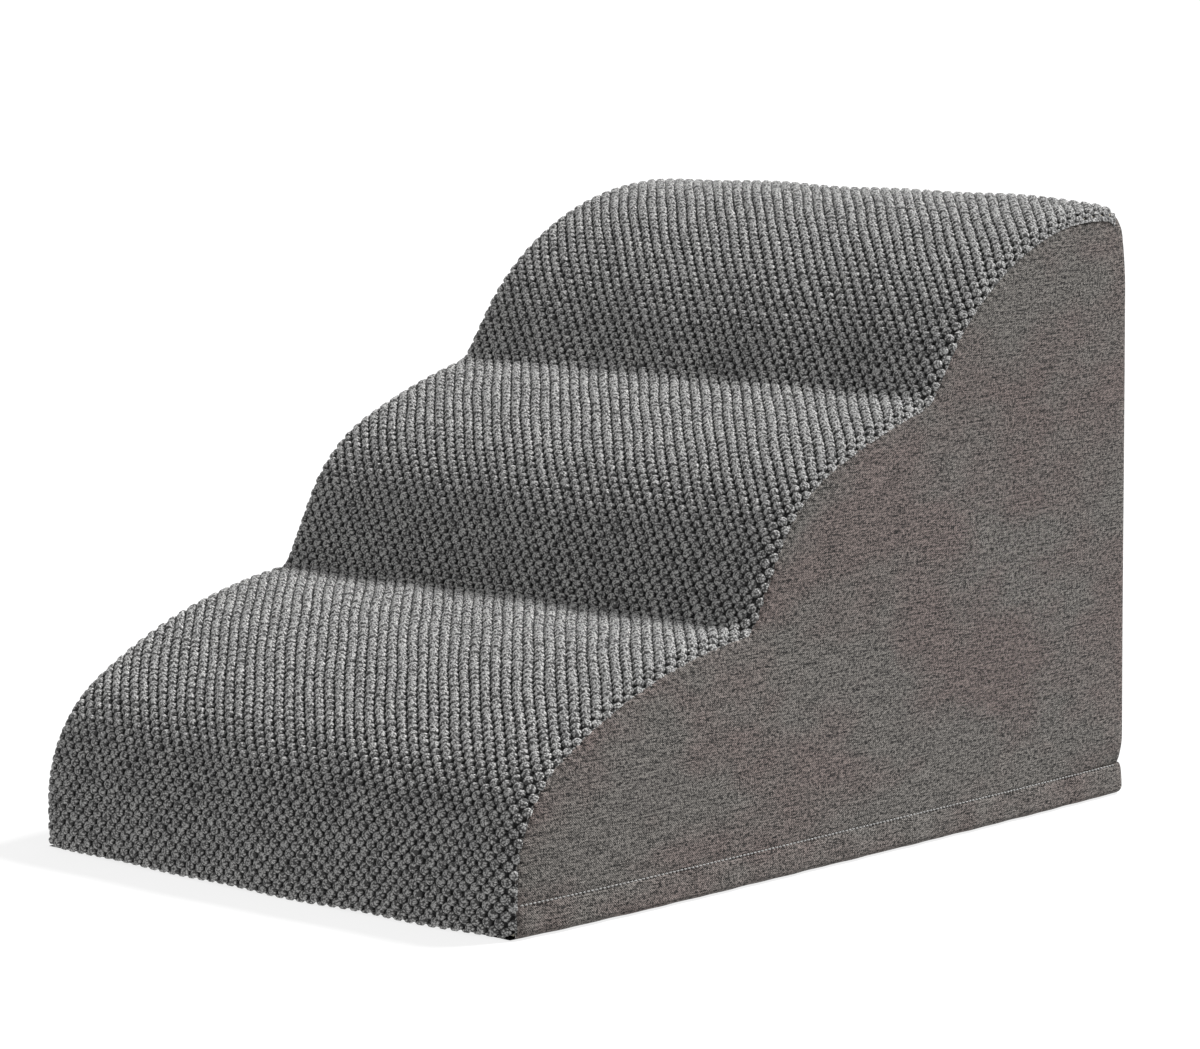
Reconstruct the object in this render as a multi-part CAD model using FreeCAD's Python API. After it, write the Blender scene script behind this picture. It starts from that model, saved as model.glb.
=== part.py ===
import FreeCAD, Part
import math
import os

# Foam dog ramp with three wave-shaped treads in a zipped cloth cover.
# +X is across the ramp, +Y is the way the dog climbs, +Z is up.
# The origin is on the floor, in the middle of the ramp's footprint.

# Whole ramp
BODY_LENGTH = 600.0
BODY_WIDTH = 420.0
BODY_HEIGHT = 400.0
ZIP_STAND_OUT = 4.0

# Crest line, measured from the front of the cover at the floor
FIRST_CREASE = (214.0, 161.0)
SECOND_CREASE = (389.0, 288.0)
REAR_ROUND = 20.0
CREASE_ROUND = 8.0
EDGE_ROUND = 10.0

# Each tread: lean of the riser, its straight length, radius of the nose, radius of the tread.
# The upper tread has no radius of its own, because it ends level at the rear round.
LOWER_HUMP = (90.0, 30.0, 90.0, 400.0)
MIDDLE_HUMP = (62.0, 50.0, 113.0, 560.0)
UPPER_HUMP = (54.0, 42.0, 115.0, None)

# Cloth
KNIT = 5.0
CLOTH = 3.0
BASE_CLOTH = 2.0
DOT_HEIGHT = 0.8
HEM_HEIGHT = 20.0
THREAD = 0.8

# Grip dots under the base
DOT_RADIUS = 2.5
DOT_PITCH = 30.0
DOT_MARGIN = 18.0

# Zip across the back
ZIP_HEIGHT = 45.0
SLOT_HALF_HEIGHT = 6.0
SLOT_HALF_LENGTH = 186.0
TAPE_HALF_LENGTH = 190.0
TAPE_WIDTH = 13.3
TAPE_THICKNESS = 0.8
COIL_GAP = 1.4
COIL_WIDTH = 2.4
COIL_DEPTH = 1.8
COIL_HALF_LENGTH = 180.0
TOOTH_PITCH = 2.0
TOOTH_REACH = 1.0
STOP_LENGTH = 3.0
SLIDER_LENGTH = 14.0
SLIDER_WIDTH = 10.0
PLATE = 1.2
RUNNING_GAP = 0.3
PARKED_X = 170.0
DIVIDER = 0.8
BRIDGE_WIDTH = 2.4
BRIDGE_HALF_LENGTH = 4.8
BRIDGE_FOOT = 1.2
TAB_LENGTH = 26.0
TAB_WIDTH = 7.0
TAB_THICKNESS = 1.1
TAB_SLOT_WIDTH = 3.4
TAB_SLOT_END = 6.6

# Blank care label
LABEL_WIDTH = 35.0
LABEL_HEIGHT = 18.0
LABEL_THICKNESS = 0.4
LABEL_X = -160.0

FRONT_Y = -(BODY_LENGTH + ZIP_STAND_OUT) / 2
BACK_Y = FRONT_Y + BODY_LENGTH
SIDE_X = BODY_WIDTH / 2
INNER_X = SIDE_X - CLOTH
INNER_BACK_Y = BACK_Y - CLOTH
FLOOR_CLEAR = DOT_HEIGHT
FOAM_Z = FLOOR_CLEAR + BASE_CLOTH
HEM_Z = FLOOR_CLEAR + HEM_HEIGHT
BIG = 1000.0

V = FreeCAD.Vector


def box(low, high):
    """A block between two opposite corners."""
    size = [b - a for a, b in zip(low, high)]
    return Part.makeBox(size[0], size[1], size[2], V(*low))


def step(point, reach, angle):
    """The point that lies a reach away from another along an angle."""
    return (point[0] + reach * math.cos(angle), point[1] + reach * math.sin(angle))


def hump(start, end, lean, rise, nose_radius, tread_radius):
    """One tread's points: foot, top of riser, nose, nose end, tread, tread end.

    The riser runs into the nose and the nose into the tread without a kink. The two angles
    that make the tread finish on the next crease come from closing the chain of arcs. A
    tread with no radius finishes level, and its radius comes from the same closing.
    """
    lean = math.radians(lean)
    top = step(start, rise, lean)
    across = end[0] - top[0] - nose_radius * math.sin(lean)
    up = end[1] - top[1] + nose_radius * math.cos(lean)
    if tread_radius is None:
        turn = 2 * math.atan((up - nose_radius) / across)
        tread_radius = nose_radius + across / math.sin(turn)
        last = 0.0
    else:
        more = tread_radius - nose_radius
        far = math.hypot(across, up)
        close = (tread_radius ** 2 - more ** 2 - far ** 2) / (2 * more)
        turn = math.acos(close / far) - math.atan2(across, up)
        last = math.atan2(more * math.sin(turn) - across, up + more * math.cos(turn))
    points = [start, top]
    centre = step(top, nose_radius, lean - math.pi / 2)
    points.append(step(centre, nose_radius, (lean + turn) / 2 + math.pi / 2))
    points.append(step(centre, nose_radius, turn + math.pi / 2))
    centre = step(points[-1], tread_radius, turn - math.pi / 2)
    points.append(step(centre, tread_radius, (turn + last) / 2 + math.pi / 2))
    points.append(end)
    return points


def side_outline(rear_round, below=0.0, behind=0.0):
    """The ramp's side view as a face in the plane x = 0."""
    crest_end = (BODY_LENGTH - REAR_ROUND, BODY_HEIGHT)
    humps = [
        hump((0.0, 0.0), FIRST_CREASE, *LOWER_HUMP),
        hump(FIRST_CREASE, SECOND_CREASE, *MIDDLE_HUMP),
        hump(SECOND_CREASE, crest_end, *UPPER_HUMP),
    ]

    def at(point):
        return V(0, FRONT_Y + point[0], point[1])

    edges = [Part.makeLine(at((0.0, -below)), at((0.0, 0.0)))] if below else []
    for foot, top, nose, nose_end, tread, tread_end in humps:
        edges.append(Part.makeLine(at(foot), at(top)))
        edges.append(Part.Arc(at(top), at(nose), at(nose_end)).toShape())
        edges.append(Part.Arc(at(nose_end), at(tread), at(tread_end)).toShape())
    back = BODY_LENGTH + behind
    if rear_round:
        centre = (back - rear_round, BODY_HEIGHT - rear_round)
        shoulder = step(centre, rear_round, math.pi / 4)
        low = (back, centre[1])
        edges.append(Part.Arc(at(crest_end), at(shoulder), at(low)).toShape())
    else:
        low = (back, BODY_HEIGHT)
        edges.append(Part.makeLine(at(crest_end), at(low)))
    edges.append(Part.makeLine(at(low), at((back, -below))))
    edges.append(Part.makeLine(at((back, -below)), at((0.0, -below))))
    return Part.Face(Part.Wire(edges))


def across_ramp(face, half_width):
    """A side view drawn out to a solid of the given half width."""
    face = face.copy()
    face.translate(V(-half_width, 0, 0))
    return face.extrude(V(2 * half_width, 0, 0))


def stuffed_body():
    """The filled cover as a whole, with soft creases and rolled side edges."""
    body = across_ramp(side_outline(REAR_ROUND), SIDE_X)
    creases = []
    for crease in (FIRST_CREASE, SECOND_CREASE):
        middle = V(0, FRONT_Y + crease[0], crease[1])
        for edge in body.Edges:
            if (edge.CenterOfMass - middle).Length < 0.01:
                creases.append(edge)
    body = body.makeFillet(CREASE_ROUND, creases)
    rolled = []
    for edge in body.Edges:
        bounds = edge.BoundBox
        on_a_side = abs(abs(bounds.XMin) - SIDE_X) < 0.01 and bounds.XLength < 0.01
        if on_a_side and bounds.ZMax > 0.01:
            rolled.append(edge)
    body = body.makeFillet(EDGE_ROUND, rolled)
    return body.common(box((-BIG, -BIG, FLOOR_CLEAR), (BIG, BIG, BIG)))


def inside_seam(inset):
    """What lies more than an inset within the crest line, out to the back and the floor."""
    face = side_outline(0.0, below=50.0, behind=50.0).makeOffset2D(-inset)
    return across_ramp(face, BIG)


def solid_of(shape):
    """The one solid that a cut or a fusion leaves."""
    assert len(shape.Solids) == 1, len(shape.Solids)
    return shape.Solids[0]


pieces = {}

body = stuffed_body()
under_knit = inside_seam(KNIT)
under_thread = inside_seam(KNIT + THREAD)

# What lies inside the back cloth, which follows the rear round up to the knit
inside_back = box((-INNER_X, -BIG, 0), (INNER_X, INNER_BACK_Y, BODY_HEIGHT - CLOTH))
shoulder = [
    edge for edge in inside_back.Edges
    if abs(edge.BoundBox.YMin - INNER_BACK_Y) < 0.01
    and abs(edge.BoundBox.ZMin - BODY_HEIGHT + CLOTH) < 0.01
]
inside_back = inside_back.makeFillet(REAR_ROUND - CLOTH, shoulder)

# Foam core: three slabs glued one on top of the other
foam = under_knit.common(inside_back)
foam = foam.common(box((-BIG, -BIG, FOAM_Z), (BIG, BIG, BIG)))
first_joint = FIRST_CREASE[1] - KNIT
second_joint = SECOND_CREASE[1] - KNIT
slabs = (
    ("foam_block_lower", FOAM_Z, first_joint),
    ("foam_block_middle", first_joint, second_joint),
    ("foam_block_upper", second_joint, BIG),
)
for name, low, high in slabs:
    pieces[name] = solid_of(foam.common(box((-BIG, -BIG, low), (BIG, BIG, high))))

# The slider's inner plate presses a groove into the foam
groove_floor = INNER_BACK_Y - RUNNING_GAP - PLATE - 0.5
groove = box(
    (-SLOT_HALF_LENGTH, groove_floor, ZIP_HEIGHT - SLOT_HALF_HEIGHT),
    (SLOT_HALF_LENGTH, BIG, ZIP_HEIGHT + SLOT_HALF_HEIGHT),
)
pieces["foam_block_lower"] = solid_of(pieces["foam_block_lower"].cut(groove))

# Bubble-knit panel over the front, the treads and the rear edge
pieces["tread_panel"] = solid_of(body.cut(under_knit))

# Sides, with the turned-up hem as a strip of its own below
seam_x = SIDE_X - EDGE_ROUND + math.sqrt(EDGE_ROUND ** 2 - (EDGE_ROUND - KNIT) ** 2)
lined = body.common(under_knit)
rim = lined.cut(under_thread)
for side, name in ((1, "right"), (-1, "left")):
    def strip(x_in, y_low, z_low, y_high, z_high):
        """A block that reaches from a place on this side out past the cover."""
        low_x, high_x = sorted((side * x_in, side * BIG))
        return box((low_x, y_low, z_low), (high_x, y_high, z_high))

    edge_thread = rim.common(strip(seam_x - THREAD, -BIG, 0, BIG, BIG))
    edge_thread = edge_thread.common(strip(0, -BIG, 0, BACK_Y - REAR_ROUND / 2, BIG))
    hem_thread = lined.common(strip(SIDE_X - THREAD, -BIG, HEM_Z, BIG, HEM_Z + THREAD))
    hem_thread = hem_thread.cut(edge_thread)
    side_cloth = lined.common(strip(INNER_X, -BIG, 0, BIG, BIG))
    side_cloth = side_cloth.cut(edge_thread).cut(hem_thread)
    panel = side_cloth.common(strip(0, -BIG, HEM_Z, BIG, BIG))
    band = side_cloth.common(strip(0, -BIG, 0, BIG, HEM_Z))
    pieces["edge_seam_thread_" + name] = solid_of(edge_thread)
    pieces["hem_seam_thread_" + name] = solid_of(hem_thread)
    pieces["side_panel_" + name] = solid_of(panel)
    pieces["hem_band_" + name] = solid_of(band)

# Back, split by the zip, with its own length of hem
back_cloth = lined.common(box((-INNER_X, BACK_Y - REAR_ROUND, 0), (INNER_X, BIG, BIG)))
back_cloth = back_cloth.cut(inside_back)
back_thread = back_cloth.common(box((-BIG, BACK_Y - THREAD, HEM_Z), (BIG, BIG, HEM_Z + THREAD)))
pieces["hem_seam_thread_back"] = solid_of(back_thread)
slot = box(
    (-SLOT_HALF_LENGTH, -BIG, ZIP_HEIGHT - SLOT_HALF_HEIGHT),
    (SLOT_HALF_LENGTH, BIG, ZIP_HEIGHT + SLOT_HALF_HEIGHT),
)
back_cloth = back_cloth.cut(back_thread).cut(slot)

# Zip: woven tapes with a toothed coil along each, seen through the slot in the back
coil_y = INNER_BACK_Y + TAPE_THICKNESS
teeth = int(2 * COIL_HALF_LENGTH / TOOTH_PITCH)
for side, name in ((1, "upper"), (-1, "lower")):
    inner_z = ZIP_HEIGHT + side * COIL_GAP / 2
    outer_z = inner_z + side * TAPE_WIDTH
    tape = box(
        (-TAPE_HALF_LENGTH, INNER_BACK_Y, min(inner_z, outer_z)),
        (TAPE_HALF_LENGTH, coil_y, max(inner_z, outer_z)),
    )
    pieces["zip_tape_" + name] = tape
    back_cloth = back_cloth.cut(tape)

    root_z = inner_z + side * TOOTH_REACH
    rim_z = inner_z + side * COIL_WIDTH
    outline = [V(-COIL_HALF_LENGTH, coil_y, rim_z), V(-COIL_HALF_LENGTH, coil_y, root_z)]
    for i in range(teeth):
        start = -COIL_HALF_LENGTH + (i + 0.25) * TOOTH_PITCH
        stop = start + TOOTH_PITCH / 2
        outline.append(V(start, coil_y, root_z))
        outline.append(V(start, coil_y, inner_z))
        outline.append(V(stop, coil_y, inner_z))
        outline.append(V(stop, coil_y, root_z))
    outline.append(V(COIL_HALF_LENGTH, coil_y, root_z))
    outline.append(V(COIL_HALF_LENGTH, coil_y, rim_z))
    outline.append(outline[0])
    comb = Part.Face(Part.makePolygon(outline)).extrude(V(0, COIL_DEPTH, 0))
    pieces["zip_coil_" + name] = comb

above = back_cloth.common(box((-BIG, -BIG, ZIP_HEIGHT), (BIG, BIG, BIG)))
below = back_cloth.common(box((-BIG, -BIG, HEM_Z), (BIG, BIG, ZIP_HEIGHT)))
band = back_cloth.common(box((-BIG, -BIG, 0), (BIG, BIG, HEM_Z)))
pieces["back_panel_upper"] = solid_of(above)
pieces["back_panel_lower"] = solid_of(below)
pieces["hem_band_back"] = solid_of(band)

# Metal stops: one staple across both coils at the open end, one on each coil at the closed end
rim = COIL_GAP / 2 + COIL_WIDTH
stop_y = coil_y + COIL_DEPTH


def stop_block(x, z_low, z_high):
    """One clamped stop that starts at x and lies on the tape."""
    low = (x, coil_y, ZIP_HEIGHT + z_low)
    high = (x + STOP_LENGTH, stop_y, ZIP_HEIGHT + z_high)
    return box(low, high)


stops = [
    stop_block(-COIL_HALF_LENGTH - STOP_LENGTH, -rim, rim),
    stop_block(COIL_HALF_LENGTH, COIL_GAP / 2, rim),
    stop_block(COIL_HALF_LENGTH, -rim, -COIL_GAP / 2),
]
pieces["zip_stops"] = Part.makeCompound(stops)

# Slider: a plate on each side of the tape, a divider between the coils, a bridge for the tab
top_low = stop_y + RUNNING_GAP
top_high = top_low + PLATE
under_high = INNER_BACK_Y - RUNNING_GAP
under_low = under_high - PLATE
pivot_y = top_high + RUNNING_GAP + TAB_THICKNESS / 2
bar_low = pivot_y + TAB_THICKNESS / 2 + RUNNING_GAP
bar_high = BACK_Y + ZIP_STAND_OUT
half = SLIDER_LENGTH / 2


def rounded_plate(length, width, thickness, x, y, round_off):
    """A flat plate in the plane of the zip, with rounded corners."""
    low = (x - length / 2, y, ZIP_HEIGHT - width / 2)
    high = (x + length / 2, y + thickness, ZIP_HEIGHT + width / 2)
    plate = box(low, high)
    corners = [edge for edge in plate.Edges if edge.BoundBox.YLength > thickness / 2]
    return plate.makeFillet(round_off, corners)


def slider_block(x_from, x_to, y_low, y_high, width):
    """A block on the slider, centred on the zip."""
    low = (PARKED_X + x_from, y_low, ZIP_HEIGHT - width / 2)
    high = (PARKED_X + x_to, y_high, ZIP_HEIGHT + width / 2)
    return box(low, high)


bridge_end = BRIDGE_HALF_LENGTH - BRIDGE_FOOT
slider = rounded_plate(SLIDER_LENGTH, SLIDER_WIDTH, PLATE, PARKED_X, top_low, 3.0)
slider = slider.fuse([
    rounded_plate(SLIDER_LENGTH, SLIDER_WIDTH, PLATE, PARKED_X, under_low, 3.0),
    slider_block(half - 5.0, half - 1.0, under_low, top_high, DIVIDER),
    slider_block(-BRIDGE_HALF_LENGTH, -bridge_end, top_low, bar_high, BRIDGE_WIDTH),
    slider_block(bridge_end, BRIDGE_HALF_LENGTH, top_low, bar_high, BRIDGE_WIDTH),
    slider_block(-BRIDGE_HALF_LENGTH, BRIDGE_HALF_LENGTH, bar_low, bar_high, BRIDGE_WIDTH),
]).removeSplitter()
pieces["zip_slider"] = solid_of(slider)

# Pull tab: its crossbar turns under the bridge, and it lies flat along the zip
tab_y = pivot_y - TAB_THICKNESS / 2
tab_start = PARKED_X - TAB_LENGTH
tab_end = PARKED_X + TAB_THICKNESS / 2
tab = rounded_plate(
    tab_end - tab_start, TAB_WIDTH, TAB_THICKNESS, (tab_start + tab_end) / 2, tab_y, 0.5
)
slot_box = box(
    (PARKED_X - TAB_SLOT_END, -BIG, ZIP_HEIGHT - TAB_SLOT_WIDTH / 2),
    (PARKED_X - TAB_THICKNESS / 2, BIG, ZIP_HEIGHT + TAB_SLOT_WIDTH / 2),
)
tab = tab.cut(slot_box)
keep_round = Part.makeCylinder(
    TAB_THICKNESS / 2, TAB_WIDTH, V(PARKED_X, pivot_y, ZIP_HEIGHT - TAB_WIDTH / 2), V(0, 0, 1)
)
blunt = box(
    (PARKED_X, -BIG, ZIP_HEIGHT - TAB_WIDTH / 2),
    (BIG, BIG, ZIP_HEIGHT + TAB_WIDTH / 2),
)
tab = tab.cut(blunt).fuse(keep_round).removeSplitter()
pieces["zip_pull_tab"] = solid_of(tab)

# Base cloth and the grip dots moulded on its underside
front_inner = FRONT_Y + KNIT
pieces["base_panel"] = box(
    (-INNER_X, front_inner, FLOOR_CLEAR),
    (INNER_X, INNER_BACK_Y, FOAM_Z),
)


def spread(low, high):
    """Evenly spaced places between two limits, near the wanted pitch."""
    count = int(round((high - low) / DOT_PITCH))
    return [low + (high - low) * i / count for i in range(count + 1)]


across = spread(-INNER_X + DOT_MARGIN, INNER_X - DOT_MARGIN)
along = spread(front_inner + DOT_MARGIN, INNER_BACK_Y - DOT_MARGIN)
dots = []
corner_dots = []
for x in across:
    for y in along:
        dot = Part.makeCylinder(DOT_RADIUS, DOT_HEIGHT, V(x, y, 0))
        at_corner = x in (across[0], across[-1]) and y in (along[0], along[-1])
        (corner_dots if at_corner else dots).append(dot)
pieces["grip_dots"] = Part.makeCompound(dots)
pieces["corner_grip_dots"] = Part.makeCompound(corner_dots)

# Blank care label, caught in the back hem seam and hanging over the hem
pieces["care_label"] = box(
    (LABEL_X, BACK_Y, HEM_Z + THREAD / 2 - LABEL_HEIGHT),
    (LABEL_X + LABEL_WIDTH, BACK_Y + LABEL_THICKNESS, HEM_Z + THREAD / 2),
)

os.makedirs("parts", exist_ok=True)
for name, shape in pieces.items():
    shape.exportStep("parts/" + name + ".step")
    print(name, len(shape.Solids), round(shape.Volume / 1000, 2), "cm3")
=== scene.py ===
import math

import bmesh
import bpy
import numpy as np
from mathutils import Euler, Matrix, Vector


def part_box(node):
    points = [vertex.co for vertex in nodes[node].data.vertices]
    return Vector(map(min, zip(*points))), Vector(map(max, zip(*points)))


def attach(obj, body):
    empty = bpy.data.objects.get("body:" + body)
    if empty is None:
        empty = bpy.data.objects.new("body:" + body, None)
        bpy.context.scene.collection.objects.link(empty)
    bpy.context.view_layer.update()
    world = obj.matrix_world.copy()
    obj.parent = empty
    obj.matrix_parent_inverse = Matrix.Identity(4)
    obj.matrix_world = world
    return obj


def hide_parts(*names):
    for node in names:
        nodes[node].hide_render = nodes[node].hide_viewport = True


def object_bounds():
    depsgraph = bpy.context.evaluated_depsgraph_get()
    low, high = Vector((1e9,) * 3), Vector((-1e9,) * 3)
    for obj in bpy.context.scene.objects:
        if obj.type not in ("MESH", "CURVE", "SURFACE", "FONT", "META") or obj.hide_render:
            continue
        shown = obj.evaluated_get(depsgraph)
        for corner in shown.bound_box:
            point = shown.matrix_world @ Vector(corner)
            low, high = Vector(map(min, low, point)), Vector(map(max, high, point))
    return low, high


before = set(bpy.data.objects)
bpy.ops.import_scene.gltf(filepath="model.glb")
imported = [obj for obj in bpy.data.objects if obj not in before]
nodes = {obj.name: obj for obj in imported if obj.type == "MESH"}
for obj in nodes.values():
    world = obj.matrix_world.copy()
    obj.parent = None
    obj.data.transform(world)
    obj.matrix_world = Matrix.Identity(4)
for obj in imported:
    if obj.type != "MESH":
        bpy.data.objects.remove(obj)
cad_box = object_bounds()


# ---- Foam core ----
# Three slabs of firm cream polyurethane foam, hot-wire cut to the wave and glued one on top
# of the other. The cover hides them, so they keep their modelled shape and get cut-foam pores.

def new_material(name, roughness, sheen=0.0, metal=0.0):
    """A new material, with its node tree and its shader."""
    material = bpy.data.materials.new(name)
    material.use_nodes = True
    shader = material.node_tree.nodes["Principled BSDF"]
    shader.inputs["Roughness"].default_value = roughness
    shader.inputs["Specular IOR Level"].default_value = 0.25
    shader.inputs["Sheen Weight"].default_value = sheen
    shader.inputs["Metallic"].default_value = metal
    return material, material.node_tree, shader


def ramp(tree, amount, *stops):
    """A colour ramp with stops of (place, (r, g, b))."""
    made = tree.nodes.new("ShaderNodeValToRGB")
    tree.links.new(amount, made.inputs[0])
    elements = made.color_ramp.elements
    while len(elements) < len(stops):
        elements.new(0.5)
    for element, (place, colour) in zip(elements, stops):
        element.position = place
        element.color = (*colour, 1.0)
    return made.outputs[0]


def emboss(tree, shader, height, depth, strength=1.0):
    """Bump on the shader from a height from 0 to 1 that stands for a depth in metres."""
    bump = tree.nodes.new("ShaderNodeBump")
    bump.inputs["Strength"].default_value = strength
    bump.inputs["Distance"].default_value = depth
    tree.links.new(height, bump.inputs["Height"])
    tree.links.new(bump.outputs[0], shader.inputs["Normal"])


def cells(tree, place, scale):
    """Distance to the middle of the nearest cell, for pores, loops and grains."""
    made = tree.nodes.new("ShaderNodeTexVoronoi")
    made.inputs["Scale"].default_value = scale
    tree.links.new(place, made.inputs["Vector"])
    return made.outputs["Distance"]


def place_on(tree):
    """The point on the object, in metres."""
    return tree.nodes.new("ShaderNodeTexCoord").outputs["Object"]


def finish_node(name, material):
    """Gives a CAD node that stays in view its material."""
    mesh = nodes[name].data
    mesh.materials.clear()
    mesh.materials.append(material)


foam, tree, shader = new_material("cut_foam", roughness=0.9)
pores = cells(tree, place_on(tree), 900.0)
pore_shade = ramp(tree, pores, (0.0, (0.42, 0.38, 0.28)), (0.45, (0.80, 0.75, 0.62)))
tree.links.new(pore_shade, shader.inputs["Base Color"])
emboss(tree, shader, pores, 0.0006)
for name in ("foam_block_lower", "foam_block_middle", "foam_block_upper"):
    finish_node(name, foam)


# ---- Tread panel ----
# One length of grey bubble-knit fleece: round nubs about 7 mm apart on a diamond grid. It runs
# from the floor over the three waves to the rear edge, rolls over both side edges and ends in
# the side seams. It is the thickest cloth of the cover, so every nub is modelled.

EDGE_ROLL = 0.010
SEAM_DROP = 0.005
HALF_WIDTH = (cad_box[1][0] - cad_box[0][0]) / 2
FLAT_HALF = HALF_WIDTH - EDGE_ROLL
REAR_DROP = 0.0045
NUB_ACROSS = 0.00912
NUB_ALONG = 0.01003
NUB_HEIGHT = 0.0036
NUB_RADIUS = 0.0035
KNIT_STEP = 0.0009
FOOT_CURL = 0.0022
FRONT_BOW = 0.007
TUCK_UNDER = 0.0004
SEAM_LAP = 0.0012


def sum_of(tree, operation, a, b=None, c=None):
    """A math node on sockets or plain numbers."""
    made = tree.nodes.new("ShaderNodeMath")
    made.operation = operation
    for slot, value in enumerate((a, b, c)):
        if isinstance(value, bpy.types.NodeSocket):
            tree.links.new(value, made.inputs[slot])
        elif value is not None:
            made.inputs[slot].default_value = value
    return made.outputs[0]


def blend_colours(tree, amount, first, second, way="MIX"):
    """A colour between two, by a socket or number from 0 to 1."""
    made = tree.nodes.new("ShaderNodeMix")
    made.data_type = "RGBA"
    made.blend_type = way
    for slot, value in ((0, amount), (6, first), (7, second)):
        if isinstance(value, bpy.types.NodeSocket):
            tree.links.new(value, made.inputs[slot])
        elif slot == 0:
            made.inputs[slot].default_value = value
        else:
            made.inputs[slot].default_value = (*value, 1.0)
    return made.outputs[2]


def clouds(tree, place, scale, detail=2.0, roughness=0.5):
    """Soft noise from 0 to 1."""
    made = tree.nodes.new("ShaderNodeTexNoise")
    made.inputs["Scale"].default_value = scale
    made.inputs["Detail"].default_value = detail
    made.inputs["Roughness"].default_value = roughness
    tree.links.new(place, made.inputs["Vector"])
    return made.outputs["Fac"]


def flat_place(tree):
    """The point on the cloth laid flat, in metres."""
    made = tree.nodes.new("ShaderNodeUVMap")
    made.uv_map = "flat"
    return made.outputs[0]


def apart(tree, place):
    """The two coordinates of a point on the flat cloth."""
    made = tree.nodes.new("ShaderNodeSeparateXYZ")
    tree.links.new(place, made.inputs[0])
    return made.outputs[0], made.outputs[1]


def evenly(line, step):
    """A line again, with points an even step apart."""
    along = np.r_[0, np.cumsum(np.hypot(*np.diff(line, axis=0).T))]
    at = np.linspace(0, along[-1], int(round(along[-1] / step)) + 1)
    return np.stack([np.interp(at, along, line[:, k]) for k in range(2)], axis=1)


def eased(line, step, spread):
    """An even line with its corners eased over a spread in metres."""
    reach = int(4 * spread / step)
    weights = np.exp(-0.5 * (np.arange(-reach, reach + 1) * step / spread) ** 2)
    weights /= weights.sum()
    head = line[0] + (line[0] - line[1]) * np.arange(reach, 0, -1)[:, None]
    tail = line[-1] + (line[-1] - line[-2]) * np.arange(1, reach + 1)[:, None]
    long = np.vstack([head, line, tail])
    return np.stack([np.convolve(long[:, k], weights, "valid") for k in range(2)], axis=1)


def outward(line):
    """Unit normals on the left of a line in the (y, z) plane."""
    run = np.gradient(line, axis=0)
    run /= np.hypot(*run.T)[:, None]
    return np.stack([-run[:, 1], run[:, 0]], axis=1)


def crest_corners():
    """The corners of the crest line, where the CAD tread panel starts to roll over."""
    points = np.array([v.co for v in nodes["tread_panel"].data.vertices])
    on_line = points[np.abs(points[:, 0] - FLAT_HALF) < 1e-5]
    order = np.argsort(on_line[:, 1] + 0.5 * on_line[:, 2])
    line = on_line[order][:, 1:]
    fresh = np.r_[True, np.hypot(*np.diff(line, axis=0).T) > 1e-5]
    return line[fresh]


crest = eased(evenly(crest_corners(), KNIT_STEP), KNIT_STEP, 0.003)
floor_z = crest[0, 1]

# The foot of the panel curls under before it meets the base cloth
turn = np.linspace(math.pi / 2, 0.0, 6)
curl = np.stack([
    crest[0, 0] + FOOT_CURL * (1 - np.cos(turn)),
    floor_z + FOOT_CURL * (1 - np.sin(turn)),
], axis=1)
knit_line = np.vstack([curl, crest[crest[:, 1] > floor_z + FOOT_CURL]])
knit_line = eased(evenly(knit_line, KNIT_STEP), KNIT_STEP, 0.0015)
knit_out = outward(knit_line)

# The rear end runs on a little under the back panel
under = np.array([1.0, 2.0, 3.0])[:, None]
step_on = knit_line[-1] - knit_line[-2]
tail = knit_line[-1] + step_on * under - knit_out[-1] * TUCK_UNDER * under
knit_line = np.vstack([knit_line, tail])
knit_out = outward(knit_line)
crest_length = (len(knit_line) - 1) * KNIT_STEP


def crown(x):
    """How full the stuffing makes the cover across its width, from 0 at the edges to 1."""
    return 1 - np.clip(np.abs(x) / HALF_WIDTH, 0, 1) ** 8


def nub_height(across, along):
    """Height of the nubs, from 0 in the gaps to 1. The two half steps make the diamond."""
    height = np.zeros(across.shape)
    for half in (0.0, 0.5):
        column = np.round(across / NUB_ACROSS - half)
        row = np.round(along / NUB_ALONG - half)
        size = 0.90 + 0.10 * np.sin(column * 12.7 + row * 31.1 + half * 9.0)
        x = across - (column + half) * NUB_ACROSS
        y = along - (row + half) * NUB_ALONG
        away = np.hypot(x, y) / NUB_RADIUS
        dome = np.clip(1 - away ** 2.6, 0, 1) ** 0.6 * (1 - 0.16 * np.exp(-(away / 0.4) ** 2))
        height = np.maximum(height, dome * size)
    return height


def skin(name, points, flat, material, body="ramp"):
    """A smooth mesh from a grid of points, with its place on the flat cloth as UV in metres."""
    rows, columns = points.shape[:2]
    index = np.arange(rows * columns).reshape(rows, columns)
    quads = [index[:-1, :-1], index[:-1, 1:], index[1:, 1:], index[1:, :-1]]
    return smooth_piece(name, points, np.stack(quads, axis=-1), flat, material, body)


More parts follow.
